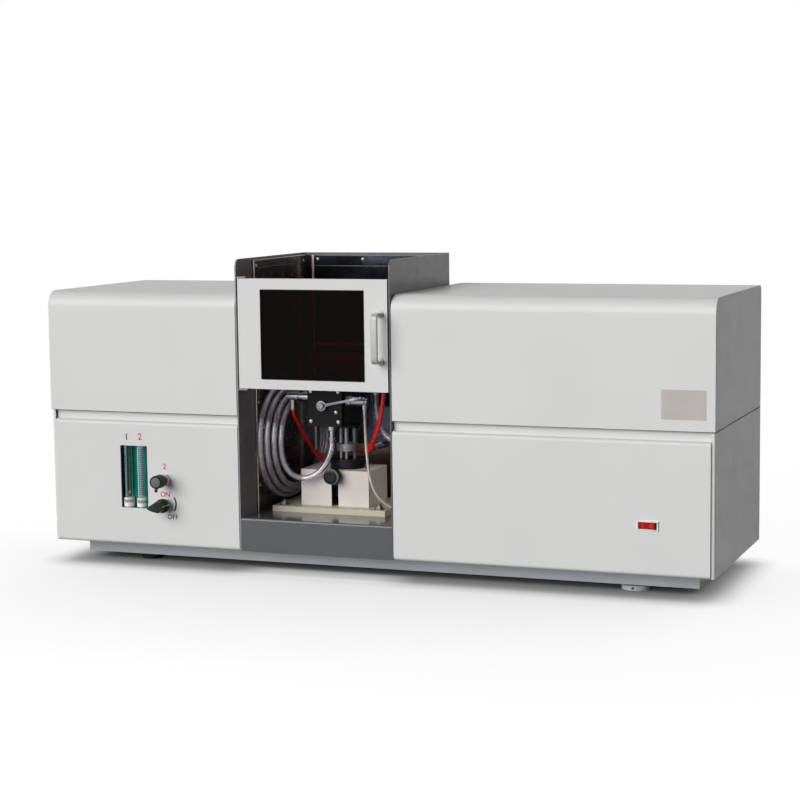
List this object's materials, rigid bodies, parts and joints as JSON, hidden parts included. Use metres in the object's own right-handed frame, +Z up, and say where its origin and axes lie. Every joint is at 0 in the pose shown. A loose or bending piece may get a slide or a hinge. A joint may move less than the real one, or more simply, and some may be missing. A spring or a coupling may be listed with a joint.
{
  "type": "atomic absorption spectrophotometer",
  "caption": "Bench flame absorption spectrometer: lamp housing with tilting cover, open flame bay with window door, burner on a lift, coiled drain hose, and a long optics housing on a tray.",
  "frame": {"origin": "on the table, under the middle of the instrument's outline", "axes": "+Z up, front towards -Y, +X to the right along the instrument's width"},
  "size_m": [1.02, 0.3734, 0.464],
  "materials": {
    "white_paint": "fine satin powder coat",
    "grey_paint": "satin powder coat",
    "tray_grey": "satin powder coat",
    "black_steel": "polished dark steel",
    "rubber": "matte",
    "steel": "satin turned steel",
    "aluminium": "satin anodised",
    "brass": "satin",
    "smoked_glass": "polished, dark red",
    "cream_paint": "satin",
    "black_plastic": "matte",
    "titanium": "machined",
    "clear_hose": "soft clear vinyl",
    "red_hose": "smooth",
    "green_plastic": "matte",
    "clear_acrylic": "polished clear",
    "float_ball": "smooth",
    "white_plastic": "smooth",
    "red_plastic": "smooth",
    "lamp_glass": "clear",
    "dark_cast": "matte black anodised"
  },
  "bodies": {
    "housing": {"base_tray": "tray_grey", "rubber_feet": "rubber", "left_chassis": "white_paint", "left_front_panel": "white_paint", "right_chassis": "white_paint", "right_front_panel": "white_paint", "bench_plates": "steel", "lid_hinges": "steel", "optics_cover": "white_paint", "bay_left_wall": "grey_paint", "bay_right_wall": "grey_paint", "bay_back_wall": "grey_paint", "bay_floor": "grey_paint", "side_liners": "black_steel", "back_liner": "black_steel", "door_hardware": "brass", "burner_plate": "cream_paint", "plate_bolts": "steel", "lift_box": "white_paint", "drain_hose": "clear_hose", "fuel_hoses": "red_hose", "air_hose": "clear_hose", "sample_tube": "clear_hose", "hose_bulkheads": "steel", "flowmeter_block": "green_plastic", "flow_tubes": "clear_acrylic", "valve_bodies": "steel", "switch_bezel": "white_plastic", "lamp_stand": "aluminium", "lens_barrels": "dark_cast", "monochromator": "dark_cast", "pmt_housing": "dark_cast", "main_board": "green_plastic", "power_supply": "steel", "fan_frame": "black_plastic", "power_inlet": "black_plastic", "gas_inlets": "brass"},
    "front_levelling_foot": {"levelling_foot_front": "steel"},
    "rear_levelling_foot": {"levelling_foot_rear": "steel"},
    "lid": {"lamp_cover": "white_paint"},
    "door": {"door_frame": "white_paint", "door_window": "smoked_glass", "door_handle": "aluminium"},
    "carriage": {"lift_slider": "black_plastic", "burner_column": "steel", "spray_chamber": "black_plastic", "chamber_plate": "black_plastic", "chamber_fittings": "steel"},
    "burner": {"burner_head": "titanium"},
    "clip": {"clip_lever": "steel"},
    "clamp": {"lift_knob": "black_plastic"},
    "fuel_valve": {"fuel_knob": "black_plastic"},
    "shut_off": {"gas_lever": "black_plastic"},
    "rocker": {"power_rocker": "red_plastic"},
    "first_float": {"air_float": "float_ball"},
    "second_float": {"fuel_float": "float_ball"},
    "turret": {"lamp_turret": "aluminium", "lamps": "lamp_glass"},
    "grating": {"grating_table": "aluminium"},
    "fan": {"fan_rotor": "black_plastic"}
  },
  "joints": [
    {"name": "front_foot_turn", "type": "hinge", "parent": "housing", "child": "front_levelling_foot", "pos_m": [0.383, -0.07925, 0.004], "axis": [0, 0, 1], "range_deg": [-720, 720]},
    {"name": "rear_foot_turn", "type": "hinge", "parent": "housing", "child": "rear_levelling_foot", "pos_m": [0.383, 0.08875, 0.004], "axis": [0, 0, 1], "range_deg": [-720, 720]},
    {"name": "lid_tilt", "type": "hinge", "parent": "housing", "child": "lid", "pos_m": [-0.3535, 0.16875, 0.235], "axis": [-1, 0, 0], "range_deg": [0, 75]},
    {"name": "door_swing", "type": "hinge", "parent": "housing", "child": "door", "pos_m": [-0.1888, -0.15125, 0.2755], "axis": [0, 0, -1], "range_deg": [0, 100]},
    {"name": "burner_lift", "type": "slide", "parent": "housing", "child": "carriage", "axis": [0, 0, 1], "range_m": [-0.015, 0], "deforming": ["drain_hose", "fuel_hoses", "air_hose", "sample_tube"]},
    {"name": "burner_turn", "type": "hinge", "parent": "carriage", "child": "burner", "pos_m": [-0.076, -0.02825, 0.279], "axis": [0, 0, 1], "range_deg": [0, 90]},
    {"name": "clip_swing", "type": "hinge", "parent": "carriage", "child": "clip", "pos_m": [-0.0935, -0.07925, 0.2445], "axis": [0, -1, 0], "range_deg": [-50, 30]},
    {"name": "clamp_turn", "type": "hinge", "parent": "carriage", "child": "clamp", "pos_m": [-0.082, -0.06725, 0.1385], "axis": [0, -1, 0], "range_deg": [0, 720]},
    {"name": "fuel_turn", "type": "hinge", "parent": "housing", "child": "fuel_valve", "pos_m": [-0.3185, -0.17525, 0.135], "axis": [0, -1, 0], "range_deg": [0, 720]},
    {"name": "shut_off_turn", "type": "hinge", "parent": "housing", "child": "shut_off", "pos_m": [-0.3185, -0.17025, 0.097], "axis": [0, -1, 0], "range_deg": [-50, 30]},
    {"name": "rocker_tip", "type": "hinge", "parent": "housing", "child": "rocker", "pos_m": [0.4176, -0.15225, 0.1039], "axis": [0, 0, 1], "range_deg": [0, 16]},
    {"name": "first_float_rise", "type": "slide", "parent": "housing", "child": "first_float", "axis": [0, 0, 1], "range_m": [0, 0.06]},
    {"name": "second_float_rise", "type": "slide", "parent": "housing", "child": "second_float", "axis": [0, 0, 1], "range_m": [0, 0.06]},
    {"name": "turret_turn", "type": "hinge", "parent": "housing", "child": "turret", "pos_m": [-0.347, -0.02825, 0.293], "axis": [1, 0, 0], "continuous": true},
    {"name": "grating_turn", "type": "hinge", "parent": "housing", "child": "grating", "pos_m": [0.184, 0.00925, 0.235], "axis": [0, 0, 1], "range_deg": [-15, 45]},
    {"name": "fan_turn", "type": "hinge", "parent": "housing", "child": "fan", "pos_m": [0.31, 0.14475, 0.144], "axis": [0, 1, 0], "continuous": true}
  ]
}
